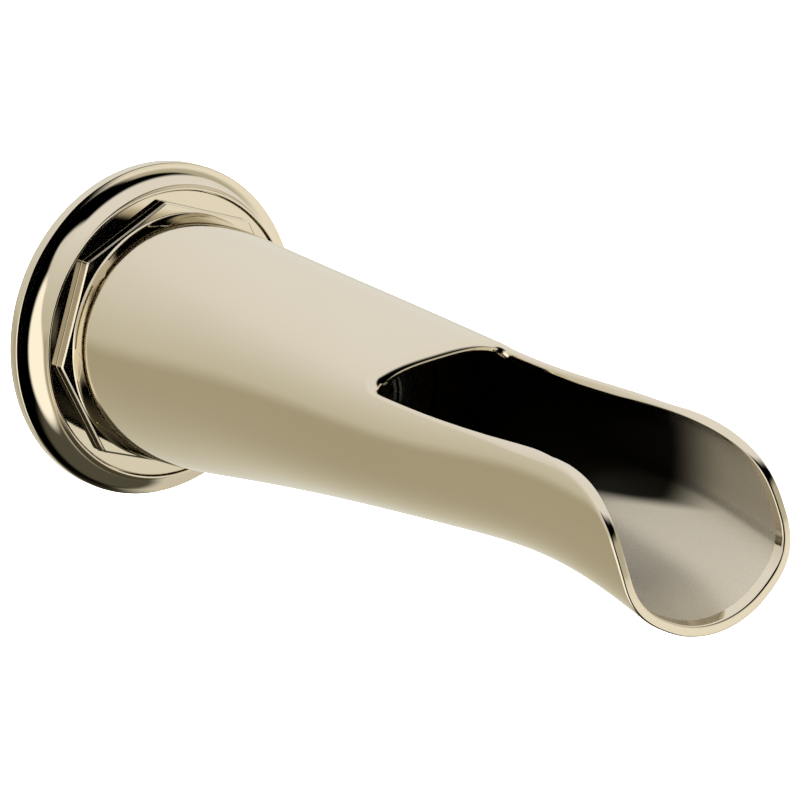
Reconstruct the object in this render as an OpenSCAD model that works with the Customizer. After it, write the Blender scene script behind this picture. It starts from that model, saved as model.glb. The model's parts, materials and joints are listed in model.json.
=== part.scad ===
// Wall mounted tub spout with an open channel, a round wall flange and an octagonal collar.
// The wall is the plane Y = 0, the spout points along -Y, and Z is up.
// "Depth" below means the distance in front of the wall, so a depth d lies at Y = -d.

/* [Wall flange] */
// Diameter of the wall flange
flange_d = 76; // [74:0.5:84]
// Depth of the flange's narrow outer rim
rim_depth = 3.2; // [2.6:0.1:4]
// Diameter at the top of the flange's hollow curve, where its narrow land begins
land_d = 66.3; // [66:0.1:67]
// Depth of the flange's narrow land
land_depth = 8.4; // [8:0.1:9]

/* [Octagonal collar] */
// Diameter of the collar's round base, which sits inside the flange
collar_base_d = 65; // [64.6:0.1:65.6]
// Distance between opposite corners of the octagon
octagon_corners = 61.8; // [60.8:0.1:62.4]
// Depth of the octagon's face
octagon_depth = 10.1; // [9.6:0.1:10.4]
// Width of the small bevel around the octagon's face
octagon_bevel = 0.4; // [0.2:0.1:0.6]

/* [Spout body] */
// Depth that the lip's profile reaches for, just below the body
lip_depth = 184.6; // [182:0.2:187]
// Thickness of the cast wall
wall = 2.5; // [2.2:0.1:2.8]
// Depth of the rear edge of the slot
slot_rear = 103; // [101:0.5:106]
// Half of the slot's width at its rear edge
slot_half_rear = 17.3; // [16:0.1:17.6]
// Half of the slot's width where the lip begins
slot_half_front = 19.7; // [19:0.1:19.9]
// Radius of the slot's two rear corners
slot_corner_r = 2.5; // [2:0.5:6]

/* [Supply fitting] */
// Radius of the bore for a 1/2 inch pipe thread, at the thread's crests
thread_r = 9.3; // [9.2:0.05:9.4]
// Radius of the adapter's smooth nose
nose_r = 13.5; // [13.5:0.1:13.6]
// Length of the adapter
adapter_length = 48; // [46:0.5:50]
// Radial clearance between the adapter's nose and the socket around it
nose_clearance = 0.05; // [0.03:0.01:0.08]

/* [Set screw] */
// Depth of the set screw
screw_depth = 26; // [25:0.5:27]
// Radius of the set screw, a 6 mm screw
screw_r = 2.95; // [2.92:0.01:2.97]
// Length of the set screw
screw_length = 5; // [4.5:0.1:5]

/* [Hidden] */

$fn = 96;

NICKEL = [0.80, 0.75, 0.64];
BRASS = [0.78, 0.62, 0.32];
STEEL = [0.70, 0.70, 0.72];
RUBBER = [0.10, 0.10, 0.11];
PLASTIC = [0.12, 0.12, 0.13];

// Overlap that lets a cutter run past the face it cuts, or joins two solids of one piece
past = 1;

// Half the size of a cutter that reaches past the whole spout sideways
reach = 60;

// Handles of the body's curves, evenly spaced along it: half width, top height, bottom height.
// Each curve runs smoothly close by its own handles.
HANDLES = [
    [27.7, 28.9, -24.0],
    [28.5, 28.4, -29.8],
    [25.1, 23.1, -24.1],
    [24.2, 18.1, -19.2],
    [22.0, 14.8, -16.0],
    [20.7, 18.6, -13.4],
    [22.1, 8.9, -26.0],
    [23.8, -0.3, -38.9]
];
handle_spacing = 37.1;
body_foot = 10.3;
body_end = body_foot + 5 * handle_spacing;

// The body flares a little more over its first millimetre
flare = 0.3;
flare_length = 0.5;

// The upper half of a section is an ellipse at the wall, and a flatter and squarer superellipse at
// the slot and at the lip
power_wall = 2;
power_slot = 3;
power_lip = 3.6;

// Lofted skins: sections along the body and points around a section
outer_sections = 34;
outer_points = 48;
inner_sections = 26;
inner_points = 40;

// The body's tail is a round spigot that passes through the collar and the flange
spigot_r = 21;
spigot_bore_r = 17.5;
spigot_rear = 2.4;
spigot_bore_end = 62;
groove_depth = 0.9;
clip_rear = 2.9;
clip_thickness = 0.9;

// The flange is hollow behind its ledge
ledge_rear = 4;
ledge_front = 5;
flange_back = 0.4;
flange_hollow_r = 28;
gasket_inner_r = 29.2;
gasket_outer_r = 35.6;
gasket_front = 2;
gasket_gap = 0.2;
through_r = spigot_r + 0.3;
rim_bevel = 0.6;
rim_bevel_depth = 0.3;
collar_gap = 0.15;
collar_drop = 0.6;

// Every O-ring has the same cord, and its grooves are a little wider
cord_r = 0.95;
groove_w = 2.4;

socket_rear = 3.4;
socket_front = 56;
socket_wall_rear = 51;
socket_bore_r = nose_r + nose_clearance;
thread_length = 16;
water_r = 6.6;
guide_rear = 10;
guide_width = 4.2;
seal_groove_rear = 33;
seal_groove_front = 41;
hex_key_flats = 12.7;
hex_key_depth = 12;

tube_r = 8;
tube_bore_r = 6.8;
tube_rear = 52;
tube_front = 66;
tube_gap = 0.05;
tube_groove_rear = 52.2;
tube_groove_front = 63;

// The bulkhead is the channel's rear wall, and carries the cartridge that straightens the stream
bulkhead_rear = 70;
bulkhead_front = 74;
cartridge_r = 12;
cartridge_rear = 62;
cartridge_front = 79;
cartridge_bore_r = 10.6;
screen_r = 10.4;
screen_thickness = 0.5;
screen_hole_r = 0.7;
screen_pitch = 2.6;

// The rim of the lip is cut by a quarter ellipse in side view
rim_a = 15.8;
rim_b = 48.4;
rim_z = -39;
rim_centre = lip_depth - rim_a;

// Behind the lip the floor of the cut lies below the slot's edge, under the whole wall
slot_front = 171;
floor_drop = 5;

pad_r = 2;
pad_top = -(nose_r + 0.35);
pad_length = 1.4;
screw_top = pad_top - pad_length - 0.05;
key_flats = 3;
key_depth = 3;

// ---------- shared shapes ----------

// Turns a shape drawn with its length along +Z so that it runs from the wall along -Y
module from_wall(depth = 0) {
    translate([0, -depth, 0])
        rotate([90, 0, 0])
            children();
}

module disc(r, from, to) {
    from_wall(from)
        cylinder(r = r, h = to - from);
}

module ring(r_out, r_in, from, to) {
    difference() {
        disc(r_out, from, to);
        disc(r_in, from - past, to + past);
    }
}

module o_ring(centre_r, depth) {
    from_wall(depth)
        rotate_extrude()
            translate([centre_r, 0])
                circle(r = cord_r, $fn = 32);
}

// A snap ring with its gap at the top
module snap_ring(r_out, r_in, from, to, gap) {
    difference() {
        ring(r_out, r_in, from, to);
        translate([-gap / 2, -to - past, 0])
            cube([gap, to - from + 2 * past, r_out + past]);
    }
}

// ---------- body shape ----------

// Smooth curve along column k of the handles
function along(d, k) =
    let (t = (d - body_foot) / handle_spacing, i = min(4, max(0, floor(t))), u = t - i)
    ((1 - u) * (1 - u) * (1 - u) * HANDLES[i][k] + (3 * u * u * u - 6 * u * u + 4) * HANDLES[i + 1][k]
        + (3 * u + 3 * u * u - 3 * u * u * u + 1) * HANDLES[i + 2][k] + u * u * u * HANDLES[i + 3][k]) / 6;

function foot(d) = flare * exp(-(d - body_foot) / flare_length);

function smooth(u) = let (v = min(1, max(0, u))) v * v * (3 - 2 * v);
function power(d) =
    power_wall + (power_slot - power_wall) * smooth((d - body_foot) / (slot_rear - body_foot))
        + (power_lip - power_slot) * smooth((d - slot_rear) / (slot_front - slot_rear));

// Points of the section at a depth, as [x, z], pulled in by inset
function section(d, inset, n) =
    let (a = along(d, 0) + foot(d) - inset, top = along(d, 1) + foot(d) - inset,
         bottom = along(d, 2) - foot(d) + inset, middle = (top + bottom) / 2, q = 2 / power(d))
    [for (i = [0 : n - 1])
        let (c = cos(360 * i / n), s = sin(360 * i / n))
        s >= 0 ? [a * sign(c) * pow(abs(c), q), middle + (top - middle) * pow(s, q)]
               : [a * c, middle + (middle - bottom) * s]];

// Closed solid through the sections from one depth to another
module loft(from, to, sections, inset, n) {
    step = (to - from) / (sections - 1);
    points = [for (k = [0 : sections - 1]) for (p = section(from + k * step, inset, n))
        [p[0], -(from + k * step), p[1]]];
    sides = [for (k = [0 : sections - 2]) for (i = [0 : n - 1]) let (j = (i + 1) % n)
        each [[k * n + i, (k + 1) * n + j, k * n + j], [k * n + i, (k + 1) * n + i, (k + 1) * n + j]]];
    rear = [[for (i = [0 : n - 1]) i]];
    front = [[for (i = [0 : n - 1]) sections * n - 1 - i]];
    polyhedron(points, concat(sides, rear, front));
}

// Half of the slot's width at a depth, and the height of its edge there
function slot_half(d) =
    let (t = (d - slot_rear) / (slot_front - slot_rear))
    slot_half_rear + (slot_half_front - slot_half_rear) * t * t;
function edge_height(d) =
    let (middle = (along(d, 1) + along(d, 2)) / 2, x = slot_half(d) / along(d, 0), p = power(d))
    middle + (along(d, 1) - middle) * pow(1 - pow(x, p), 1 / p);
function floor_height(d) =
    let (t = (d - slot_rear) / (rim_centre - slot_rear))
    edge_height(d) - floor_drop * (1 - t * t);

// The slot seen from above: two rounded rear corners, curved sides, and open to the front
module slot_plan() {
    r = slot_corner_r;
    corner = [for (a = [0 : 15 : 90]) [slot_half_rear - r * (1 - sin(a)), slot_rear + r * (1 - cos(a))]];
    side = [for (d = [slot_rear + 10 : 10 : rim_centre]) [slot_half(d), d]];
    front = [[slot_half(rim_centre), rim_centre], [reach, rim_centre], [reach, 4 * reach]];
    half = concat(corner, side, front);
    polygon(concat([for (p = half) [p[0], -p[1]]],
                   [for (i = [len(half) - 1 : -1 : 0]) [-half[i][0], -half[i][1]]]));
}

// The slot and the scooped lip seen from the side, as the region that is cut away
module lip_profile() {
    floor_line = [for (d = [slot_rear - 1 : 5 : rim_centre - 3]) [-d, floor_height(d)]];
    scoop = [for (a = [90 : -5 : 0]) [-(rim_centre + rim_a * cos(a)), rim_z + rim_b * sin(a)]];
    polygon(concat(floor_line, scoop,
                   [[-lip_depth, -reach], [-4 * reach, -reach], [-4 * reach, reach], [1 - slot_rear, reach]]));
}

// The opening is where the view from above and the view from the side are both open
module opening_cutter() {
    intersection() {
        translate([0, 0, -reach])
            linear_extrude(height = 2 * reach)
                slot_plan();
        rotate([90, 0, 90])
            linear_extrude(height = 2 * reach, center = true)
                lip_profile();
    }
}

// ---------- pieces of the spout ----------

module spout_body() {
    color(NICKEL)
        difference() {
            union() {
                loft(body_foot, body_end, outer_sections, 0, outer_points);
                disc(spigot_r, spigot_rear, body_foot + past);
            }
            disc(spigot_bore_r, spigot_rear - past, spigot_bore_end);
            loft(spigot_bore_end - 4, body_end + past, inner_sections, wall, inner_points);
            ring(spigot_r + past, spigot_r - groove_depth, clip_rear - 0.1, clip_rear + clip_thickness + 0.1);
            opening_cutter();
            screw_hole(screw_r + 0.6, -40);
        }
}

// Upright hole for the set screw, from the spout's middle down to a height
module screw_hole(r, bottom) {
    translate([0, -screw_depth, bottom])
        cylinder(r = r, h = -bottom);
}

module inlet_socket() {
    color(BRASS)
        difference() {
            disc(spigot_bore_r - 0.02, socket_rear, socket_front);
            disc(socket_bore_r, socket_rear - past, socket_wall_rear);
            disc(tube_r + tube_gap, socket_wall_rear - past, socket_front + past);
            disc(tube_r + 2 * cord_r, tube_groove_rear, tube_groove_rear + groove_w);
            screw_hole(screw_r + 0.05, -30);
        }
}

module wall_flange() {
    r = flange_d / 2;
    land_r = land_d / 2;
    collar_r = collar_base_d / 2 + collar_gap;
    cove_start = rim_depth + rim_bevel_depth;
    cove_width = r - rim_bevel - land_r;
    cove_height = land_depth - cove_start;
    cove = [for (a = [10 : 10 : 80])
        [land_r + cove_width * (1 - sin(a)), cove_start + cove_height * (1 - cos(a))]];
    color(NICKEL)
        difference() {
            from_wall()
                rotate_extrude()
                    polygon(concat(
                        [[through_r, ledge_rear], [flange_hollow_r, ledge_rear], [flange_hollow_r, flange_back],
                         [r, flange_back], [r, rim_depth], [r - rim_bevel, cove_start]],
                        cove,
                        [[land_r, land_depth], [collar_r, land_depth],
                         [collar_r, ledge_front], [through_r, ledge_front]]));
            ring(gasket_outer_r + gasket_gap, gasket_inner_r - gasket_gap, -past, gasket_front);
        }
}

module octagon_collar() {
    floor_depth = land_depth - collar_drop;
    bevel_start = octagon_depth - octagon_bevel;
    corner_r = octagon_corners / 2;
    color(NICKEL)
        difference() {
            union() {
                disc(collar_base_d / 2, ledge_front, floor_depth);
                from_wall(floor_depth - past)
                    cylinder(r = corner_r, h = bevel_start - floor_depth + past, $fn = 8);
                from_wall(bevel_start)
                    cylinder(r1 = corner_r, r2 = corner_r - octagon_bevel, h = octagon_bevel, $fn = 8);
            }
            disc(through_r, ledge_front - past, octagon_depth + past);
            disc(spigot_r + 0.25 + 2 * cord_r, ledge_front - past, ledge_front + groove_w);
        }
}

module wall_gasket() {
    color(RUBBER)
        ring(gasket_outer_r, gasket_inner_r, 0, gasket_front);
}

module collar_o_ring() {
    color(RUBBER)
        o_ring(spigot_r + 0.1 + cord_r, ledge_front + groove_w / 2);
}

module retaining_clip() {
    color(STEEL)
        snap_ring(spigot_r + 2.6, spigot_r - groove_depth, clip_rear, clip_rear + clip_thickness, 6);
}

module waterway_tube() {
    color(BRASS)
        ring(tube_r, tube_bore_r, tube_rear, tube_front);
}

module tube_o_ring(depth) {
    color(RUBBER)
        o_ring(tube_r + cord_r, depth);
}

module channel_bulkhead() {
    color(BRASS)
        difference() {
            from_wall(bulkhead_rear)
                linear_extrude(height = bulkhead_front - bulkhead_rear)
                    polygon(section(bulkhead_front, wall + 0.5, inner_points));
            disc(cartridge_r, bulkhead_rear - past, bulkhead_front + past);
        }
}

module bulkhead_seal() {
    color(RUBBER)
        from_wall(bulkhead_rear - 1.5)
            linear_extrude(height = 1.5)
                difference() {
                    polygon(section(bulkhead_front, wall + 0.3, inner_points));
                    polygon(section(bulkhead_front, wall + 1.6, inner_points));
                }
}

module straightener_housing() {
    color(PLASTIC)
        difference() {
            union() {
                disc(cartridge_r, cartridge_rear, cartridge_front);
                disc(cartridge_r + 1.2, bulkhead_front, bulkhead_front + 1.5);
            }
            disc(cartridge_bore_r, tube_front + 1, cartridge_front + past);
            disc(tube_r + tube_gap, cartridge_rear - past, tube_front + 2 * tube_gap);
            disc(tube_bore_r, tube_front - past, tube_front + 1 + past);
            disc(tube_r + 2 * cord_r, tube_groove_front, tube_groove_front + groove_w);
            ring(cartridge_bore_r + 0.7, 1, cartridge_front - 2, cartridge_front - 0.9);
        }
}

// Round screen with holes on a square grid
module screen(depth) {
    color(STEEL)
        difference() {
            disc(screen_r, depth, depth + screen_thickness);
            for (i = [-3 : 3])
                for (j = [-3 : 3])
                    if (norm([i, j]) < 3.5)
                        translate([i * screen_pitch, 0, j * screen_pitch])
                            from_wall(depth - past)
                                cylinder(r = screen_hole_r, h = screen_thickness + 2 * past, $fn = 16);
        }
}

module straightener_spacer() {
    color(PLASTIC)
        ring(screen_r, screen_r - 1.4, cartridge_front - 7, cartridge_front - 3);
}

module straightener_clip() {
    color(STEEL)
        snap_ring(cartridge_bore_r + 0.6, cartridge_bore_r - 1, cartridge_front - 1.9, cartridge_front - 1, 4);
}

// ---------- pieces that stay on the wall ----------

module adapter_groove(depth, width) {
    ring(nose_r + past, nose_r - 2 * cord_r, depth, depth + width);
}

module pipe_adapter() {
    color(BRASS)
        difference() {
            disc(nose_r, 0, adapter_length);
            disc(thread_r, -past, thread_length);
            disc(water_r, thread_length - past, adapter_length + past);
            from_wall(adapter_length - hex_key_depth)
                cylinder(r = hex_key_flats / 2 / cos(30), h = hex_key_depth + past, $fn = 6);
            adapter_groove(guide_rear, guide_width);
            adapter_groove(seal_groove_rear, groove_w);
            adapter_groove(seal_groove_front, groove_w);
        }
}

module adapter_guide_ring() {
    color(PLASTIC)
        ring(nose_r - 0.02, nose_r - 1.89, guide_rear + 0.1, guide_rear + guide_width - 0.1);
}

module adapter_o_ring(depth) {
    color(RUBBER)
        o_ring(nose_r - cord_r, depth);
}

module set_screw() {
    color(STEEL)
        translate([0, -screw_depth, screw_top - screw_length])
            difference() {
                cylinder(r = screw_r, h = screw_length);
                translate([0, 0, -past])
                    cylinder(r = key_flats / 2 / cos(30), h = key_depth + past, $fn = 6);
            }
}

module set_screw_pad() {
    color(BRASS)
        translate([0, -screw_depth, pad_top - pad_length])
            cylinder(r = pad_r, h = pad_length);
}

spout_body();
inlet_socket();
wall_flange();
octagon_collar();
wall_gasket();
collar_o_ring();
retaining_clip();
waterway_tube();
tube_o_ring(tube_groove_rear + groove_w / 2);  // tube_o_ring_rear
tube_o_ring(tube_groove_front + groove_w / 2);  // tube_o_ring_front
channel_bulkhead();
bulkhead_seal();
straightener_housing();
screen(cartridge_front - 7.6);  // straightener_screen_rear
straightener_spacer();
screen(cartridge_front - 2.9);  // straightener_screen_front
straightener_clip();
pipe_adapter();
adapter_guide_ring();
adapter_o_ring(seal_groove_rear + groove_w / 2);  // adapter_o_ring_rear
adapter_o_ring(seal_groove_front + groove_w / 2);  // adapter_o_ring_front
set_screw();
set_screw_pad();
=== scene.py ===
"""Looks of the wall mounted tub spout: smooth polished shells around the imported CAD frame.

Depth d is the distance in front of the wall, so a point at depth d has y = -d. Lengths below are in
millimetres and become metres where a mesh is made. Only the +X half of the body is worked out, and the
other half is its mirror image. The angle phi runs round the body from 0 straight down to pi straight up.
"""

import math

import bmesh
import bpy
import json
import numpy as np
from mathutils import Matrix, Vector


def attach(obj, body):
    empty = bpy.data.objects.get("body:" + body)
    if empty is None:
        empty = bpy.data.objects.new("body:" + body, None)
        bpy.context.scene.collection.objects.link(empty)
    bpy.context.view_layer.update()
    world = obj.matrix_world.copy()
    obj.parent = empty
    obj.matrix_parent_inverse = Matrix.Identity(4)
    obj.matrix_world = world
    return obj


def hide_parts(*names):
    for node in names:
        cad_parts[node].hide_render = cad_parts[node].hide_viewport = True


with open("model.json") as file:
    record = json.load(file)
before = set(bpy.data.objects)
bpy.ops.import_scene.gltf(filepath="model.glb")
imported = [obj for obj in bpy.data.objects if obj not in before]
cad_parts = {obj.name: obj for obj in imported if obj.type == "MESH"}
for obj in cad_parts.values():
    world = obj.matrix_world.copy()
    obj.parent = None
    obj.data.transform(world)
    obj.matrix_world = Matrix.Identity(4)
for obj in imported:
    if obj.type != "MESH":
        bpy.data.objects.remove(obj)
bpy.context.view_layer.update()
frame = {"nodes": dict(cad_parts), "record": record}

MM = 0.001
# places of x and z in a point
X, Z = 0, 2

# ---------------------------------------------------------------- body shape, as in part.scad

# handles of the body's curves, evenly spaced along it: half width, top height, bottom height
HANDLES = np.array([
    [27.7, 28.9, -24.0],
    [28.5, 28.4, -29.8],
    [25.1, 23.1, -24.1],
    [24.2, 18.1, -19.2],
    [22.0, 14.8, -16.0],
    [20.7, 18.6, -13.4],
    [22.1, 8.9, -26.0],
    [23.8, -0.3, -38.9],
])
HALF_WIDTH, TOP, BOTTOM = 0, 1, 2
HANDLE_SPACING = 37.1
# depth where the skin starts, in front of the collar
FOOT = 10.3
# how square the upper half of the section is: 2 is an ellipse
POWER_WALL = 2.0
POWER_SLOT = 3.0
POWER_LIP = 3.6
# angles in degrees over which the section changes from the round underside to the squarer top
SQUARE_FROM = 40
SQUARE_RUN = 100
# the skin flares by this much at its foot, and the flare fades over the length
FLARE = 0.3
FLARE_LENGTH = 0.5
WALL = 2.5
# only in the visual model: the wall thins to this at the lip, over the length
LIP_WALL = 2.1
THINNING_LENGTH = 60

LIP_DEPTH = 184.6
SLOT_REAR = 103.0
SLOT_FRONT = 171.0
SLOT_HALF_REAR = 17.3
SLOT_HALF_FRONT = 19.7
SLOT_CORNER = 2.5
CORNER_DEPTH = SLOT_REAR + SLOT_CORNER
# the lip's edge seen from the side is part of an ellipse: half axes and centre
RIM_A = 15.8
RIM_B = 48.4
RIM_Z = -39.0
RIM_CENTRE = LIP_DEPTH - RIM_A
# only in the visual model: rounding of the edges of the lip and of the slot
RIM_EDGE = 0.45
SLOT_EDGE = 1.7

# the tail behind the skin, with the groove for the snap ring
SPIGOT_R = 21.0
SPIGOT_BORE = 17.5
SPIGOT_REAR = 2.4
SPIGOT_EDGE = 0.3
SPIGOT_MIDDLE = 6
BORE_END = 62.0
BORE_MIDDLE = 40
CLIP_REAR = 2.9
CLIP_THICKNESS = 0.9
CLIP_PLAY = 0.1
GROOVE = 0.9
SKIN_FOOT_R = 27.0

# points along the opening's edge: up the lip, back along the slot, round its corner and over its rear
LIP_POINTS = 64
SIDE_POINTS = 56
CORNER_POINTS = 14
REAR_POINTS = 16
SIDE_START = LIP_POINTS
CORNER_START = SIDE_START + SIDE_POINTS
REAR_START = CORNER_START + CORNER_POINTS
LAST_POINT = REAR_START + REAR_POINTS


def smooth(u):
    """Runs from 0 to 1, level at both ends."""
    u = np.clip(u, 0, 1)
    return u * u * (3 - 2 * u)


def unit(v):
    return v / np.linalg.norm(v, axis=-1, keepdims=True)


def dot(a, b):
    return (a * b).sum(-1, keepdims=True)


def bend(a, middle, b, u):
    """Point at share u of the curve from a to b that heads for middle at both ends."""
    return a * (1 - u)**2 + middle * 2 * u * (1 - u) + b * u**2


def along(d, column):
    """Smooth curve near one column of the handles, at depths d."""
    t = (np.asarray(d, float) - FOOT) / HANDLE_SPACING
    i = np.clip(np.floor(t).astype(int), 0, len(HANDLES) - 4)
    u = t - i
    c = HANDLES[:, column]
    return ((1 - u)**3 * c[i] + (3 * u**3 - 6 * u**2 + 4) * c[i + 1]
            + (-3 * u**3 + 3 * u**2 + 3 * u + 1) * c[i + 2] + u**3 * c[i + 3]) / 6


def outer(d, phi, inset=0.0):
    """Points on the body's skin at depths d and angles phi, pulled in by inset."""
    flare = FLARE * np.exp(-np.maximum(d - FOOT, 0) / FLARE_LENGTH)
    a = along(d, HALF_WIDTH) + flare - inset
    top = along(d, TOP) + flare - inset
    bottom = along(d, BOTTOM) - flare + inset
    middle = (top + bottom) / 2
    b = (top - bottom) / 2
    power_top = (POWER_WALL + (POWER_SLOT - POWER_WALL) * smooth((d - FOOT) / (SLOT_REAR - FOOT))
                 + (POWER_LIP - POWER_SLOT) * smooth((d - SLOT_REAR) / (SLOT_FRONT - SLOT_REAR)))
    n = 2 + (power_top - 2) * smooth((np.degrees(phi) - SQUARE_FROM) / SQUARE_RUN)
    s = np.abs(np.sin(phi))
    c = np.abs(np.cos(phi))
    r = ((c / b)**n + (s / a)**n)**(-1 / n)
    return np.stack([r * np.sin(phi), -d, middle - r * np.cos(phi)], -1)


def outer_point(d, phi):
    """One point on the skin."""
    return outer(np.array(float(d)), np.array(float(phi)))


def skin_normal(d, phi):
    """Outward directions of the skin at depths d and angles phi."""
    e = 1e-3
    along_depth = outer(d + e, phi) - outer(d - e, phi)
    along_angle = outer(d, phi + e) - outer(d, phi - e)
    return unit(np.cross(along_angle, along_depth))


def wall_at(d):
    """Thickness of the cast wall, a little thinner towards the lip."""
    return LIP_WALL + (WALL - LIP_WALL) * smooth((LIP_DEPTH - d) / THINNING_LENGTH)


def drop_on_skin(points, inside=False):
    """Depths and angles of points, and the points moved on to the skin, or on to the wall's inside.
    The first and the last are put on the plane of symmetry."""
    d = -points[..., 1]
    middle = (along(d, TOP) + along(d, BOTTOM)) / 2
    phi = np.arctan2(np.maximum(points[..., 0], 0), middle - points[..., 2])
    phi[0], phi[-1] = 0, math.pi
    inset = wall_at(d) if inside else 0.0
    return d, phi, outer(d, phi, inset)


def ease(values, start, end, passes):
    """Evens out a run of values, leaving its ends."""
    v = values.copy()
    for _ in range(passes):
        v[start:end] = (v[start - 1:end - 1] + 2 * v[start:end] + v[start + 1:end + 1]) / 4
    return v


# ---------------------------------------------------------------- the opening's edge

FIND_STEPS = 1441
CREASE_STEPS = 400
CREASE_REACH = 12
SETTLING_PASSES = 30
# how the slot's cut turns near the lip, and how far the meeting of slot and lip is evened out
TURN_LENGTH = 45
LIP_HIGHEST_ANGLE = math.pi * 0.8
EASE_REACH = 20
EASE_PASSES = 60
CUT_PASSES = 30


def find(d, value, axis, low, high):
    """Angle between low and high at which a coordinate of the skin at depth d has a value."""
    phi = np.linspace(low, high, FIND_STEPS)
    p = outer(np.full_like(phi, d), phi)[:, axis]
    order = np.argsort(p)
    return float(np.interp(value, p[order], phi[order]))


def find_above(d, x):
    """Angle in the upper half at which the skin at depth d is x from the middle."""
    return find(d, x, X, math.pi / 2, math.pi)


def slot_half(d):
    """Half the slot's width at depth d."""
    t = (d - SLOT_REAR) / (SLOT_FRONT - SLOT_REAR)
    return SLOT_HALF_REAR + (SLOT_HALF_FRONT - SLOT_HALF_REAR) * t**2


def rim_depth(z):
    """Depth of the lip's edge at height z."""
    rise = np.maximum((z - RIM_Z) / RIM_B, 0)
    return RIM_CENTRE + RIM_A * np.sqrt(np.maximum(1 - rise**2, 0))


def rim_bottom():
    """Height of the lip's lowest point, where its edge meets the skin's underside."""
    z = RIM_Z
    for _ in range(SETTLING_PASSES):
        z = float(outer_point(rim_depth(z), 0)[Z])
    return z


def find_crease():
    """Depth and height at which the slot's side meets the lip's edge."""
    for d in np.linspace(RIM_CENTRE, RIM_CENTRE + CREASE_REACH, CREASE_STEPS):
        z = outer_point(d, find_above(d, slot_half(d)))[Z]
        if rim_depth(z) <= d:
            return d, z
    raise ValueError("the slot's side does not meet the lip's edge")


def lip_points(crease_z):
    """Edge of the lip from its lowest point up to the crease: depth, angle and the way the cut faces."""
    points = []
    bottom = rim_bottom()
    for k in range(LIP_POINTS):
        z = bottom + (crease_z - bottom) * (1 - math.cos(k / LIP_POINTS * math.pi / 2))
        d = float(rim_depth(z))
        phi = find(d, z, Z, 0.0, LIP_HIGHEST_ANGLE)
        slope = (z - RIM_Z) / RIM_B
        cut_y = -math.sqrt(max(1 - slope**2, 0)) / RIM_A
        cut_z = max(slope, 0) / RIM_B
        points.append((d, phi, 0.0, cut_y, cut_z))
    return points


def side_points(crease_d, lip_y, lip_z):
    """Side of the slot from the crease to the slot's corner. The cut turns from the lip's way of facing
    to facing straight in."""
    points = []
    length = math.hypot(lip_y, lip_z)
    for k in range(SIDE_POINTS):
        d = crease_d + (CORNER_DEPTH - crease_d) * k / SIDE_POINTS
        turned = float(smooth((crease_d - d) / TURN_LENGTH))
        left = (1 - turned) / length
        points.append((d, find_above(d, slot_half(d)), -turned, left * lip_y, left * lip_z))
    return points


def corner_points():
    """Rounded rear corner of the slot."""
    points = []
    for k in range(CORNER_POINTS):
        a = math.pi / 2 * k / CORNER_POINTS
        x = slot_half(CORNER_DEPTH) - SLOT_CORNER * (1 - math.cos(a))
        d = CORNER_DEPTH - SLOT_CORNER * math.sin(a)
        points.append((d, find_above(d, x), -math.cos(a), -math.sin(a), 0.0))
    return points


def rear_points():
    """Rear edge of the slot, from its corner to the middle."""
    points = []
    x_start = slot_half(CORNER_DEPTH) - SLOT_CORNER
    for k in range(REAR_POINTS):
        phi = find_above(SLOT_REAR, x_start * (1 - k / REAR_POINTS))
        points.append((SLOT_REAR, phi, 0.0, -1.0, 0.0))
    points.append((SLOT_REAR, math.pi, 0.0, -1.0, 0.0))
    return points


def rim_curve():
    """The opening's edge, from the lip's lowest point to the middle of the slot's rear edge: depths,
    angles, and the way the cut faces at each point."""
    crease_d, crease_z = find_crease()
    lip = lip_points(crease_z)
    lip_y, lip_z = lip[-1][3:]
    table = np.array(lip + side_points(crease_d, lip_y, lip_z) + corner_points() + rear_points())
    low, high = SIDE_START - EASE_REACH, SIDE_START + EASE_REACH
    d = ease(table[:, 0], low, high, EASE_PASSES)
    phi = ease(table[:, 1], low, high, EASE_PASSES)
    cut = unit(table[:, 2:])
    cut = unit(np.stack([ease(cut[:, k], low, CORNER_START - 1, CUT_PASSES) for k in range(3)], -1))
    return d, phi, cut


# ---------------------------------------------------------------- rows of points of the body

SKIN_ROWS = 110
# spacing of the rows on the skin: this share follows a power, and the rest is closer at both ends
SPREAD_SHARE = 0.55
SPREAD_POWER = 1.6
INNER_ROWS = 70
FACE_SHARES = (0.25, 0.5, 0.75)
CORNER_SHARES = (0.17, 0.34, 0.5, 0.66, 0.83, 1.0)
# the slot's wider rounding starts just past the crease: where, over how many points, how far back it
# reaches in roundings, and how much flatter than the lip's it is
SLOT_EDGE_START = SIDE_START + 2
SLOT_EDGE_RUN = 16
EDGE_REACH = 1.4
EDGE_FLATNESS = 0.6
# the cut through the wall runs at least this square to the skin: 1 is at right angles
LEAST_SQUARENESS = 0.35
# depth behind which the inside narrows to the bore
INNER_REAR = BORE_END + 6
# angles in degrees at the wall end for the starts of the edge's stretches
START_ANGLES = (0, 100, 146, 156, 180)
ANGLE_PASSES = 40


def tail_outer():
    """Depths and radii from the wall end of the spigot, over the clip's groove, to the skin's foot."""
    groove_rear = CLIP_REAR - CLIP_PLAY
    groove_front = CLIP_REAR + CLIP_THICKNESS + CLIP_PLAY
    return [
        (SPIGOT_REAR, SPIGOT_BORE + SPIGOT_EDGE),
        (SPIGOT_REAR, SPIGOT_R - SPIGOT_EDGE),
        (SPIGOT_REAR + SPIGOT_EDGE / 3, SPIGOT_R - SPIGOT_EDGE / 3),
        (SPIGOT_REAR + SPIGOT_EDGE, SPIGOT_R),
        (groove_rear, SPIGOT_R),
        (groove_rear, SPIGOT_R - GROOVE),
        (groove_front, SPIGOT_R - GROOVE),
        (groove_front, SPIGOT_R),
        (SPIGOT_MIDDLE, SPIGOT_R),
        (FOOT, SPIGOT_R),
        (FOOT, SPIGOT_R + 0.2),
        (FOOT, SKIN_FOOT_R),
    ]


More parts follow.
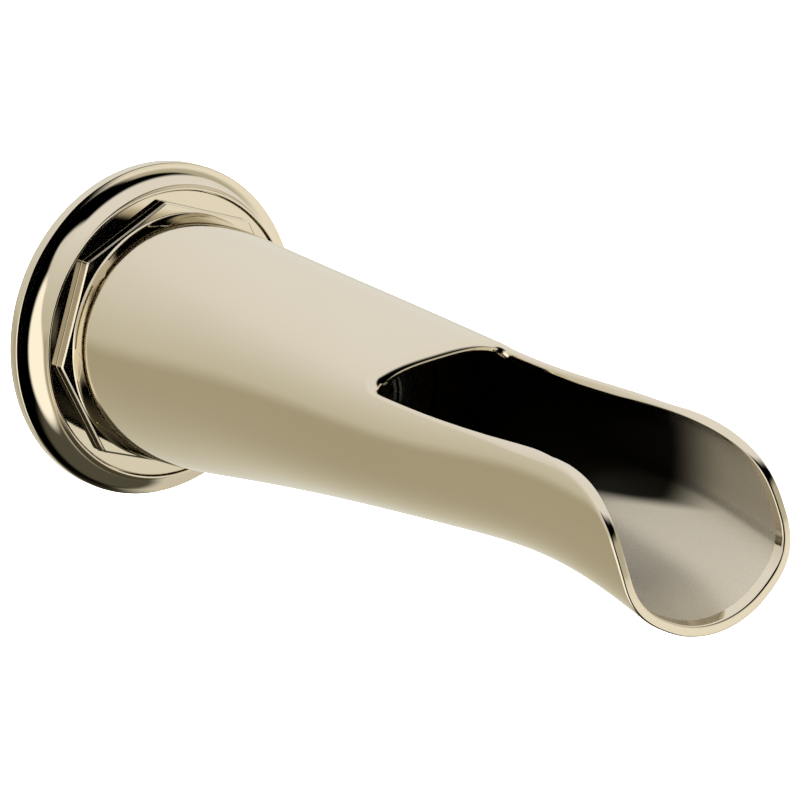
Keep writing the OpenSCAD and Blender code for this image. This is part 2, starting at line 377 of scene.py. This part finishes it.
def tail_inner():
    """Depths and radii from the front of the socket's bore back to the spigot's wall end."""
    return [
        (BORE_END + 2, SPIGOT_BORE + 2.5),
        (BORE_END, SPIGOT_BORE + 1),
        (BORE_END, SPIGOT_BORE),
        (BORE_END - 1, SPIGOT_BORE),
        (BORE_MIDDLE, SPIGOT_BORE),
        (BORE_MIDDLE / 2, SPIGOT_BORE),
        (SPIGOT_REAR + SPIGOT_EDGE, SPIGOT_BORE),
        (SPIGOT_REAR + SPIGOT_EDGE / 3, SPIGOT_BORE + SPIGOT_EDGE / 3),
    ]


def circle_row(angles, d, r):
    """Points on a circle around the Y axis at angles from straight down."""
    return np.stack([r * np.sin(angles), np.full(len(angles), -d), -r * np.cos(angles)], -1)


def wall_end_angles():
    """Angle at the wall end for each point of the opening's edge."""
    knots = (0, SIDE_START, CORNER_START, REAR_START, LAST_POINT)
    angles = np.interp(np.arange(LAST_POINT + 1), knots, np.radians(START_ANGLES))
    return ease(angles, 1, LAST_POINT, ANGLE_PASSES)


def back_direction(edge, normal, cut):
    """Directions in the skin from the opening's edge, away from the opening. At both ends the edge
    crosses the plane of symmetry squarely."""
    run = np.gradient(edge, axis=0)
    run[0] = [1, 0, 0]
    run[-1] = [-1, 0, 0]
    across = unit(np.cross(normal, unit(run)))
    return np.where(dot(across, cut) > 0, -across, across)


def through_wall(normal, cut):
    """Directions in the cut's face, from the outer edge to the inner one. The first stays on the plane
    of symmetry."""
    inward = -(normal - dot(normal, cut) * cut)
    inward[0, 0] = 0
    return unit(inward)


def rounded_corner(a, middle, b):
    """Rows of a rounded edge, after a and up to b."""
    return [bend(a, middle, b, u) for u in CORNER_SHARES]


def skin_rows(from_angle, d_end, phi_end):
    """Rows over the skin from its foot to the opening's edge, closer together at both ends."""
    rows = []
    for k in range(SKIN_ROWS + 1):
        u = k / SKIN_ROWS
        t = SPREAD_SHARE * u**SPREAD_POWER + (1 - SPREAD_SHARE) * smooth(u)
        rows.append(outer(FOOT + (d_end - FOOT) * t, from_angle + (phi_end - from_angle) * t))
    return rows


def inner_rows(from_angle, d_start, phi_start):
    """Rows over the wall's inside, from the opening's edge back to the bore."""
    rows = []
    for k in range(1, INNER_ROWS + 1):
        t = k / INNER_ROWS
        d = d_start + (INNER_REAR - d_start) * t
        phi = phi_start + (from_angle - phi_start) * t
        rows.append(outer(d, phi, wall_at(d)))
    return rows


def body_rows():
    """Rows of points around the +X half of the body, closed from the wall end over the skin, round the
    rim and back through the inside, and the number of the first inside row."""
    d_rim, phi_rim, cut = rim_curve()
    edge = outer(d_rim, phi_rim)
    normal = skin_normal(d_rim, phi_rim)
    back = back_direction(edge, normal, cut)
    inward = through_wall(normal, cut)
    squareness = np.maximum(-dot(inward, normal), LEAST_SQUARENESS)
    through = inward * wall_at(d_rim)[:, None] / squareness
    inner_edge = drop_on_skin(edge + through, inside=True)[2]

    on_slot = smooth((np.arange(len(edge)) - SLOT_EDGE_START) / SLOT_EDGE_RUN)[:, None]
    rounding = RIM_EDGE + (SLOT_EDGE - RIM_EDGE) * on_slot
    d_out, phi_out, skin_end = drop_on_skin(edge + back * rounding * EDGE_REACH)
    d_in, phi_in, inside_start = drop_on_skin(inner_edge + back * RIM_EDGE, inside=True)
    face_out = edge + inward * rounding
    face_in = inner_edge - inward * RIM_EDGE
    outer_middle = edge + ((skin_end + face_out) / 2 - edge) * on_slot * EDGE_FLATNESS

    from_angle = wall_end_angles()
    rows = [circle_row(from_angle, d, r) for d, r in tail_outer()]
    rows += skin_rows(from_angle, d_out, phi_out)
    rows += rounded_corner(skin_end, outer_middle, face_out)
    rows += [face_out + (face_in - face_out) * u for u in FACE_SHARES]
    rows += rounded_corner(face_in, inner_edge, inside_start)
    first_inner = len(rows)
    rows += inner_rows(from_angle, d_in, phi_in)
    rows += [circle_row(from_angle, d, r) for d, r in tail_inner()]
    return np.array(rows), first_inner


# ---------------------------------------------------------------- mesh helpers

def mesh_piece(name, points, faces, material, flat_angle=None):
    """Object from points in millimetres, smooth shaded, but sharp where it turns by flat_angle."""
    mesh = bpy.data.meshes.new(name)
    mesh.from_pydata([tuple(p) for p in np.asarray(points) * MM], [], faces)
    mesh.validate()
    piece = bpy.data.objects.new(name, mesh)
    bpy.context.collection.objects.link(piece)
    mesh.polygons.foreach_set("use_smooth", [True] * len(mesh.polygons))
    if flat_angle:
        mesh.set_sharp_from_angle(angle=math.radians(flat_angle))
    mesh.materials.append(material)
    mesh.update()
    return piece


def closed_grid(rows):
    """Points and quads of a grid closed both ways: rows x columns x 3."""
    m, n = rows.shape[:2]
    faces = []
    for i in range(m):
        following = (i + 1) % m
        for j in range(n):
            beside = (j + 1) % n
            faces.append((i * n + j, i * n + beside, following * n + beside, following * n + j))
    return rows.reshape(-1, 3), faces


def outward(piece):
    """Turns a closed piece's faces outwards."""
    bm = bmesh.new()
    bm.from_mesh(piece.data)
    bmesh.ops.recalc_face_normals(bm, faces=bm.faces)
    if bm.calc_volume(signed=True) < 0:
        bmesh.ops.reverse_faces(bm, faces=bm.faces)
    bm.to_mesh(piece.data)
    bm.free()
    return piece


# ---------------------------------------------------------------- shader helpers

MIX_SHARE, MIX_A, MIX_B, MIX_RESULT = 0, 6, 7, 2


class Graph:
    """Short calls that add nodes to a node tree and give back their outputs."""

    def __init__(self, tree):
        self.nodes = tree.nodes
        self.links = tree.links

    def feed(self, socket, value):
        """Gives a socket another node's output, a colour or a number."""
        if isinstance(value, bpy.types.NodeSocket):
            self.links.new(value, socket)
        elif isinstance(value, tuple):
            socket.default_value = (*value, 1)
        else:
            socket.default_value = value

    def coordinates(self, kind):
        return self.nodes.new("ShaderNodeTexCoord").outputs[kind]

    def axes(self, vector):
        """The X, Y and Z of a vector."""
        node = self.nodes.new("ShaderNodeSeparateXYZ")
        self.links.new(vector, node.inputs["Vector"])
        return node.outputs["X"], node.outputs["Y"], node.outputs["Z"]

    def step(self, value, start, end, low=0.0, high=1.0, kind="SMOOTHSTEP"):
        """Runs from low to high as a value runs from start to end."""
        node = self.nodes.new("ShaderNodeMapRange")
        node.interpolation_type = kind
        for label, number in (("From Min", start), ("From Max", end), ("To Min", low), ("To Max", high)):
            node.inputs[label].default_value = number
        self.links.new(value, node.inputs["Value"])
        return node.outputs["Result"]

    def calc(self, kind, a, b):
        node = self.nodes.new("ShaderNodeMath")
        node.operation = kind
        self.feed(node.inputs[0], a)
        self.feed(node.inputs[1], b)
        return node.outputs["Value"]

    def blend(self, a, b, share):
        """Colour that runs from a to b with share."""
        node = self.nodes.new("ShaderNodeMix")
        node.data_type = "RGBA"
        self.feed(node.inputs[MIX_A], a)
        self.feed(node.inputs[MIX_B], b)
        self.feed(node.inputs[MIX_SHARE], share)
        return node.outputs[MIX_RESULT]

    def ramp(self, value, stops):
        """Colour that runs through stops, each a position and a colour."""
        node = self.nodes.new("ShaderNodeValToRGB")
        elements = node.color_ramp.elements
        for element, (position, colour) in zip(elements, (stops[0], stops[-1])):
            element.position = position
            element.color = (*colour, 1)
        for position, colour in stops[1:-1]:
            elements.new(position).color = (*colour, 1)
        self.links.new(value, node.inputs["Fac"])
        return node.outputs["Color"]

    def noise(self, vector, scale, detail):
        node = self.nodes.new("ShaderNodeTexNoise")
        node.inputs["Scale"].default_value = scale
        node.inputs["Detail"].default_value = detail
        self.links.new(vector, node.inputs["Vector"])
        return node.outputs["Fac"]

    def bump(self, height, strength, distance):
        node = self.nodes.new("ShaderNodeBump")
        node.inputs["Strength"].default_value = strength
        node.inputs["Distance"].default_value = distance
        self.links.new(height, node.inputs["Height"])
        return node.outputs["Normal"]


# ---------------------------------------------------------------- materials

# sizes of the noise in the finishes, in cells a metre, and the height of the grain in metres
TONE_SCALE = 22
POLISH_SCALE = 60
GRAIN_HEIGHT = 0.0002


def new_material(name):
    material = bpy.data.materials.new(name)
    material.use_nodes = True
    return material, Graph(material.node_tree), material.node_tree.nodes["Principled BSDF"]


def surface(name, metallic, dark, light, rough_low, rough_high, bump, grain):
    """Surface with a slight drift in tone, uneven polish and fine surface texture."""
    material, graph, shader = new_material(name)
    place = graph.coordinates("Object")
    tone = graph.ramp(graph.noise(place, TONE_SCALE, 3), ((0.35, dark), (0.65, light)))
    polish = graph.step(graph.noise(place, POLISH_SCALE, 4), 0.0, 1.0, rough_low, rough_high, "LINEAR")
    relief = graph.bump(graph.noise(place, grain, 2), bump, GRAIN_HEIGHT)
    shader.inputs["Metallic"].default_value = metallic
    graph.feed(shader.inputs["Base Color"], tone)
    graph.feed(shader.inputs["Roughness"], polish)
    graph.feed(shader.inputs["Normal"], relief)
    return material


def polished_nickel():
    """Warm nickel, mirror polished."""
    dark, light = (0.700, 0.630, 0.500), (0.716, 0.645, 0.516)
    return surface("polished_nickel", 1.0, dark, light, 0.04, 0.07, 0.01, 900)


def machined_brass():
    """Brass as it comes off the lathe."""
    dark, light = (0.62, 0.44, 0.18), (0.72, 0.53, 0.25)
    return surface("machined_brass", 1.0, dark, light, 0.22, 0.34, 0.15, 700)


def stainless_steel():
    """Rolled steel of the clips, the screens and the screw."""
    dark, light = (0.50, 0.50, 0.50), (0.60, 0.60, 0.61)
    return surface("stainless_steel", 1.0, dark, light, 0.2, 0.32, 0.12, 900)


def seal_rubber():
    """Black rubber of the O-rings."""
    dark, light = (0.018, 0.018, 0.019), (0.03, 0.03, 0.031)
    return surface("seal_rubber", 0.0, dark, light, 0.45, 0.65, 0.2, 1500)


def gasket_foam():
    """Dull closed foam of the wall gasket."""
    dark, light = (0.04, 0.04, 0.042), (0.075, 0.075, 0.078)
    return surface("gasket_foam", 0.0, dark, light, 0.8, 0.95, 0.6, 1200)


def acetal_plastic():
    """Hard black plastic of the moulded pieces."""
    dark, light = (0.02, 0.02, 0.021), (0.035, 0.035, 0.036)
    return surface("acetal_plastic", 0.0, dark, light, 0.4, 0.55, 0.1, 800)


def inside_finish_and_painted_shade():
    """The channel's inside: satin nickel at the mouth, and dark further in, partly the unpolished
    casting and partly painted shade of the deep channel. The floor and the left wall stay satin further
    back. The left wall does so only as painted shade, to match the shading in the photo: a real finish
    would be the same on both sides, and from above the dark is lopsided."""
    dark, light = (0.37, 0.335, 0.265), (0.39, 0.355, 0.285)
    # near black: partly the unpolished casting, partly painted shade deep in the channel
    casting_and_painted_shade = (0.004, 0.0035, 0.002)
    material = surface("channel_inside", 0.8, dark, light, 0.22, 0.28, 0.004, 900)
    graph = Graph(material.node_tree)
    shader = material.node_tree.nodes["Principled BSDF"]
    x, y, z = graph.axes(graph.coordinates("Object"))
    floor_reach = graph.step(z, -0.0070, -0.0105, 0.0, 0.026)
    # painted shade: the satin reaches further back on the left wall than on the right, so the right wall
    # is darker
    left_reach = graph.step(x, 0.004, -0.010, 0.0, 0.050)
    depth = graph.calc("ADD", graph.calc("SUBTRACT", floor_reach, y), left_reach)
    # share of satin; the rest is the near black casting and painted shade
    satin_share = graph.step(depth, 0.150, 0.167)
    satin = shader.inputs["Base Color"].links[0].from_socket
    graph.feed(shader.inputs["Base Color"], graph.blend(casting_and_painted_shade, satin, satin_share))
    # the specular fades out with the satin, so the painted shade mirrors nothing
    graph.feed(shader.inputs["Specular IOR Level"], graph.step(satin_share, 0.0, 1.0, 0.0, 0.5))
    return material


nickel = polished_nickel()
SLOT_MATERIALS = {
    "nickel": nickel,
    "brass": machined_brass(),
    "steel": stainless_steel(),
    "rubber": seal_rubber(),
    "foam": gasket_foam(),
    "plastic": acetal_plastic(),
}


def finish_cad_pieces():
    """Gives each CAD piece the material of its slot."""
    for row in frame["record"]["subparts"]:
        node = frame["nodes"].get(row["node"])
        if node:
            for holder in node.material_slots:
                holder.material = SLOT_MATERIALS[row["material_slot"]]


# ---------------------------------------------------------------- spout body

# the hole that the set screw is reached through: its place, its size and the length cut away
SCREW_DEPTH = 26.0
SCREW_HOLE_R = 3.55
SCREW_HOLE_MIDDLE = -20
SCREW_HOLE_LENGTH = 40
SCREW_HOLE_SHARP = 50


def cut_screw_hole(piece):
    """Cuts the upright hole for the set screw through the underside of the body."""
    mesh = bpy.data.meshes.new("screw_hole")
    place = Matrix.Translation((0, -SCREW_DEPTH * MM, SCREW_HOLE_MIDDLE * MM))
    radius = SCREW_HOLE_R * MM
    bm = bmesh.new()
    bmesh.ops.create_cone(bm, cap_ends=True, segments=48, radius1=radius, radius2=radius,
                          depth=SCREW_HOLE_LENGTH * MM, matrix=place)
    bm.to_mesh(mesh)
    bm.free()
    cutter = bpy.data.objects.new("screw_hole", mesh)
    bpy.context.collection.objects.link(cutter)
    cut = piece.modifiers.new("screw_hole", "BOOLEAN")
    cut.operation = "DIFFERENCE"
    cut.solver = "EXACT"
    cut.object = cutter
    bpy.context.view_layer.update()
    result = bpy.data.meshes.new_from_object(piece.evaluated_get(bpy.context.evaluated_depsgraph_get()))
    piece.modifiers.clear()
    piece.data = result
    bpy.data.objects.remove(cutter)
    result.set_sharp_from_angle(angle=math.radians(SCREW_HOLE_SHARP))


def make_body():
    """The cast body: polished outside, with its own finish inside the channel, darker further in partly
    as painted shade.
    """
    half, first_inner = body_rows()
    mirrored = half[:, -2:0:-1].copy()
    mirrored[..., 0] *= -1
    rows = np.concatenate([half, mirrored], axis=1)
    points, faces = closed_grid(rows)
    body = outward(mesh_piece("spout_body_skin", points, faces, nickel))
    body.data.materials.append(inside_finish_and_painted_shade())
    columns = rows.shape[1]
    in_channel = [int(k // columns >= first_inner) for k in range(len(faces))]
    body.data.polygons.foreach_set("material_index", in_channel)
    cut_screw_hole(body)
    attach(body, "spout")
    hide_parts("spout_body")


# ---------------------------------------------------------------- flange

FLANGE_R = 38.0
FLANGE_BORE = 21.3
FLANGE_BACK = 0.4
BACK_CHAMFER = 0.3
RIM = 3.2
RIM_FILLET = 0.35
COVE_LEDGE = 0.6
COVE_STEP = 0.1
COVE_POINTS = 24
# angles of the cove in radians, short of its ends, where the fillets begin
COVE_FROM = 0.05
COVE_TO = math.pi / 2 - 0.1
LAND_R = 33.15
LAND_DEPTH = 8.4
LAND_FILLET = 0.12
INNER_FILLET = 0.1
# the recess behind the flange, and the ring shaped pocket for its gasket
RECESS_R = 28
RECESS_DEPTH = 4
POCKET_R_IN = 29
POCKET_R_OUT = 35.8
POCKET_DEPTH = 2
# the collar's round base and the shelf that it sits on
BASE_R = 32.5
BASE_GAP = 0.15
SHELF_DEPTH = 5
FLANGE_SEGMENTS = 256
FLANGE_SHARP = 50


def lathe(name, profile, segments, material, flat_angle):
    """Closed ring turned about the Y axis from a list of (radius, depth)."""
    p = np.array(profile)
    a = np.linspace(0, 2 * math.pi, segments, endpoint=False)
    depths = np.repeat(-p[:, 1, None], segments, 1)
    rows = np.stack([p[:, 0, None] * np.cos(a), depths, p[:, 0, None] * np.sin(a)], -1)
    points, faces = closed_grid(rows)
    return outward(mesh_piece(name, points, faces, material, flat_angle))


def arc(centre, r, start, end, count):
    """Points on an arc in the (radius, depth) plane, angles in degrees."""
    angles = [math.radians(start + (end - start) * k / count) for k in range(count + 1)]
    return [(centre[0] + r * math.cos(a), centre[1] + r * math.sin(a)) for a in angles]


def cove():
    """Hollow quarter round from the rim up to the land."""
    width = FLANGE_R - COVE_LEDGE - LAND_R
    start = RIM + COVE_STEP
    height = LAND_DEPTH - start
    return [(LAND_R + width * (1 - math.sin(a)), start + height * (1 - math.cos(a)))
            for a in np.linspace(COVE_FROM, COVE_TO, COVE_POINTS)]


def flange_profile():
    """Round the flange's section: its back with the pocket, its rim, its front and the shelf."""
    back = [
        (FLANGE_BORE, RECESS_DEPTH),
        (RECESS_R, RECESS_DEPTH),
        (RECESS_R, FLANGE_BACK),
        (POCKET_R_IN, FLANGE_BACK),
        (POCKET_R_IN, POCKET_DEPTH),
        (POCKET_R_OUT, POCKET_DEPTH),
        (POCKET_R_OUT, FLANGE_BACK),
        (FLANGE_R - BACK_CHAMFER, FLANGE_BACK),
        (FLANGE_R, FLANGE_BACK + BACK_CHAMFER),
    ]
    rim = arc((FLANGE_R - RIM_FILLET, RIM - RIM_FILLET), RIM_FILLET, 0, 90, 6)
    land = arc((LAND_R - LAND_FILLET, LAND_DEPTH - LAND_FILLET), LAND_FILLET, 10, 90, 5)
    inner_r = BASE_R + BASE_GAP
    inner = arc((inner_r + INNER_FILLET, LAND_DEPTH - INNER_FILLET), INNER_FILLET, 90, 180, 5)
    shelf = [(inner_r, SHELF_DEPTH), (FLANGE_BORE, SHELF_DEPTH)]
    return back + rim + cove() + land + inner + shelf


def make_flange():
    """The round wall flange."""
    flange = lathe("wall_flange_shell", flange_profile(), FLANGE_SEGMENTS, nickel, FLANGE_SHARP)
    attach(flange, "spout")
    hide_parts("wall_flange")


# ---------------------------------------------------------------- collar

# distance from the middle to the octagon's corners, and the depths of its face and of the ring around it
OCTAGON_R = 30.9
OCTAGON_DEPTH = 10.1
FLOOR_DEPTH = 7.8
BEVEL = 0.4
OCTAGON_CORNER = 0.5
SIDES = 8
POINTS_A_SIDE = 12
# small fillets, and the narrow strip beside each of them
BASE_CHAMFER = 0.3
BASE_FILLET = 0.25
FOOT_FILLET = 0.15
BEVEL_FILLET = 0.1
STRIP = 0.03
# radius inside which the collar's face is round, under the body
FACE_R = 25
COLLAR_SHARP = 25


def octagon_corner(r, k):
    angle = 2 * math.pi * k / SIDES
    return np.array([r * math.cos(angle), r * math.sin(angle)])


def octagon_row(r, depth):
    """Octagon with slightly rounded corners, points in order around the Y axis."""
    flat = []
    for k in range(SIDES):
        before = octagon_corner(r, k - 1)
        here = octagon_corner(r, k)
        after = octagon_corner(r, k + 1)
        start = here - unit(here - before) * OCTAGON_CORNER
        end = here + unit(after - here) * OCTAGON_CORNER
        following = after - unit(after - here) * OCTAGON_CORNER
        flat += [bend(start, here, end, u) for u in (0, 0.25, 0.5, 0.75, 1)]
        flat += [end + (following - end) * u for u in np.linspace(0, 1, POINTS_A_SIDE + 2)[1:-1]]
    flat = np.array(flat)
    return np.stack([flat[:, 0], np.full(len(flat), -depth), flat[:, 1]], -1)


def round_row(r, depth, like):
    """Circle whose points lie at the same angles as those of another row."""
    a = np.arctan2(like[:, 2], like[:, 0])
    return np.stack([r * np.cos(a), np.full(len(a), -depth), r * np.sin(a)], -1)


def collar_rows():
    """Rows from the collar's back round its base, up the octagon's sides and over its face. Each flat
    ends in a narrow strip, so that the small fillets do not shade it."""
    foot = octagon_row(OCTAGON_R + BASE_FILLET, FLOOR_DEPTH)
    bevel_start = OCTAGON_DEPTH - BEVEL
    half_fillet = BEVEL_FILLET / 2
    base = [
        (FLANGE_BORE, SHELF_DEPTH),
        (BASE_R - BASE_CHAMFER, SHELF_DEPTH),
        (BASE_R, SHELF_DEPTH + BASE_CHAMFER),
        (BASE_R, FLOOR_DEPTH - BASE_FILLET),
        (BASE_R - 0.08, FLOOR_DEPTH - 0.07),
        (BASE_R - BASE_FILLET, FLOOR_DEPTH),
        (BASE_R - BASE_FILLET - STRIP, FLOOR_DEPTH),
    ]
    octagon = [
        (FOOT_FILLET + STRIP, FLOOR_DEPTH),
        (FOOT_FILLET, FLOOR_DEPTH),
        (0.04, FLOOR_DEPTH + 0.04),
        (0, FLOOR_DEPTH + FOOT_FILLET),
        (0, FLOOR_DEPTH + FOOT_FILLET + STRIP),
        (0, bevel_start - BEVEL_FILLET - STRIP),
        (0, bevel_start - BEVEL_FILLET),
        (-half_fillet, bevel_start + half_fillet),
        (half_fillet - BEVEL, OCTAGON_DEPTH - half_fillet),
        (-BEVEL - BEVEL_FILLET, OCTAGON_DEPTH),
        (-BEVEL - BEVEL_FILLET - STRIP, OCTAGON_DEPTH),
    ]
    rows = [round_row(r, depth, foot) for r, depth in base]
    rows += [octagon_row(OCTAGON_R + grow, depth) for grow, depth in octagon]
    rows += [round_row(r, OCTAGON_DEPTH, foot) for r in (FACE_R, FLANGE_BORE)]
    return np.array(rows)


def make_collar():
    """The eight-sided collar around the body's foot."""
    points, faces = closed_grid(collar_rows())
    collar = outward(mesh_piece("octagon_collar_shell", points, faces, nickel, COLLAR_SHARP))
    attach(collar, "spout")
    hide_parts("octagon_collar")


# ---------------------------------------------------------------- floor, surroundings and light

FLOOR_HALF_SIZE = 8.0
FLOOR_HEIGHT = -0.45
FLOOR_COLOUR = (0.92, 0.92, 0.91)
FLOOR_ROUGHNESS = 0.9
LIGHT_PLACE = (0.0, 0.0, 4.0)
LIGHT_SIZE = 6.0
LIGHT_POWER = 900

BLACK = (0.0, 0.0, 0.0)
UMBER = (0.10, 0.095, 0.07)
SAND = (0.60, 0.57, 0.46)
CREAM = (0.80, 0.78, 0.69)
PALE_CREAM = (1.10, 1.07, 0.98)
WINDOW_WHITE = (1.40, 1.38, 1.30)
# the room behind the spout, from low on the left to high on the right
ROOM_STOPS = ((0.0, (0.52, 0.48, 0.365)), (0.42, (0.727, 0.708, 0.60)), (1.0, (1.0, 1.0, 1.0)))


def make_floor():
    """Wide pale floor, well below the spout."""
    mesh = bpy.data.meshes.new("floor")
    corners = [(x * FLOOR_HALF_SIZE, y * FLOOR_HALF_SIZE, FLOOR_HEIGHT)
               for x, y in ((-1, -1), (1, -1), (1, 1), (-1, 1))]
    mesh.from_pydata(corners, [], [(0, 1, 2, 3)])
    floor = bpy.data.objects.new("floor", mesh)
    bpy.context.collection.objects.link(floor)
    material, _, shader = new_material("pale_floor")
    shader.inputs["Base Color"].default_value = (*FLOOR_COLOUR, 1)
    shader.inputs["Roughness"].default_value = FLOOR_ROUGHNESS
    mesh.materials.append(material)
    floor.visible_glossy = False


def room_behind(graph, x, z):
    """Pale room behind the spout: darker below a soft horizon, and brighter to the right."""
    tilt = graph.calc("ADD", z, graph.calc("MULTIPLY", x, 0.5))
    below = graph.step(x, -0.65, 0.45, 0.0, 0.5, "LINEAR")
    above = graph.step(tilt, -0.28, 0.86, 0.42, 1.0, "LINEAR")
    horizon = graph.step(z, -0.13, 0.10)
    lower_part = graph.calc("MULTIPLY", below, graph.calc("SUBTRACT", 1.0, horizon))
    upper_part = graph.calc("MULTIPLY", above, horizon)
    return graph.ramp(graph.calc("ADD", lower_part, upper_part), ROOM_STOPS)


def room_in_front(graph, x, z, room):
    """In front of the spout: dark in the middle, cream low on the right, a white window far to the
    left, and the same pale room high on the left."""
    middle = graph.blend(UMBER, BLACK, graph.step(z, -0.70, -0.50))
    right = graph.blend(CREAM, PALE_CREAM, graph.step(z, -0.45, -0.20))
    right = graph.blend(right, SAND, graph.step(z, -0.05, 0.25))
    right = graph.blend(right, BLACK, graph.step(z, 0.36, 0.50))
    front = graph.blend(middle, right, graph.step(x, 0.40, 0.50))
    front = graph.blend(WINDOW_WHITE, front, graph.step(x, -0.68, -0.46))
    high_left = graph.calc("MULTIPLY", graph.step(z, 0.42, 0.54), graph.step(x, -0.12, -0.28))
    return graph.blend(front, room, high_left)


def make_world():
    """Surroundings that the polished metal mirrors, by direction: the numbers in each step are parts of
    a unit direction. They are patches set to give the photo's reflections from the photo's angle, and
    not a real room. The line between behind the spout and in front runs further back near the floor."""
    world = bpy.data.worlds.new("studio")
    bpy.context.scene.world = world
    world.use_nodes = True
    graph = Graph(world.node_tree)
    x, y, z = graph.axes(graph.coordinates("Generated"))
    room = room_behind(graph, x, z)
    front = room_in_front(graph, x, z, room)
    line = graph.step(z, -0.2, 0.5, 0.42, -0.40)
    behind = graph.step(graph.calc("SUBTRACT", y, line), -0.09, 0.13)
    background = world.node_tree.nodes["Background"]
    graph.feed(background.inputs["Color"], graph.blend(front, room, behind))
    background.inputs["Strength"].default_value = 1.0


def make_light():
    """Overhead light that brightens the floor and the matt pieces, and that no metal mirrors."""
    light = bpy.data.lights.new("floor_light", "AREA")
    light.shape = "SQUARE"
    light.size = LIGHT_SIZE
    light.energy = LIGHT_POWER
    lamp = bpy.data.objects.new("floor_light", light)
    bpy.context.collection.objects.link(lamp)
    lamp.location = LIGHT_PLACE
    lamp.visible_camera = False
    lamp.visible_glossy = False


# ---------------------------------------------------------------- camera

CAMERA_AZIMUTH = math.radians(-37.94)
CAMERA_ELEVATION = math.radians(18.56)
CAMERA_ROLL = math.radians(-3.31)
CAMERA_DISTANCE = 0.794
CAMERA_LENS = 158.8
SENSOR_WIDTH = 36
# how far the camera's line of sight passes to the right of the origin, and above it
CAMERA_RIGHT = 0.0560
CAMERA_UP = -0.0165


def make_camera():
    """Long lens, at the height and side that the spout is seen from, a little rolled."""
    azimuth, elevation, roll = CAMERA_AZIMUTH, CAMERA_ELEVATION, CAMERA_ROLL
    level = Vector((math.cos(azimuth), math.sin(azimuth), 0))
    back = Vector((math.sin(azimuth) * math.cos(elevation),
                   -math.cos(azimuth) * math.cos(elevation),
                   math.sin(elevation)))
    upright = back.cross(level)
    right = level * math.cos(roll) + upright * math.sin(roll)
    up = upright * math.cos(roll) - level * math.sin(roll)
    data = bpy.data.cameras.new("camera")
    data.lens = CAMERA_LENS
    data.sensor_width = SENSOR_WIDTH
    camera = bpy.data.objects.new("camera", data)
    bpy.context.collection.objects.link(camera)
    place = right * CAMERA_RIGHT + up * CAMERA_UP + back * CAMERA_DISTANCE
    turn = Matrix((right, up, back)).transposed().to_4x4()
    camera.matrix_world = Matrix.Translation(place) @ turn
    bpy.context.scene.camera = camera


finish_cad_pieces()
make_body()
make_flange()
make_collar()
make_floor()
make_world()
make_light()
make_camera()
bpy.context.scene.view_settings.view_transform = "Standard"
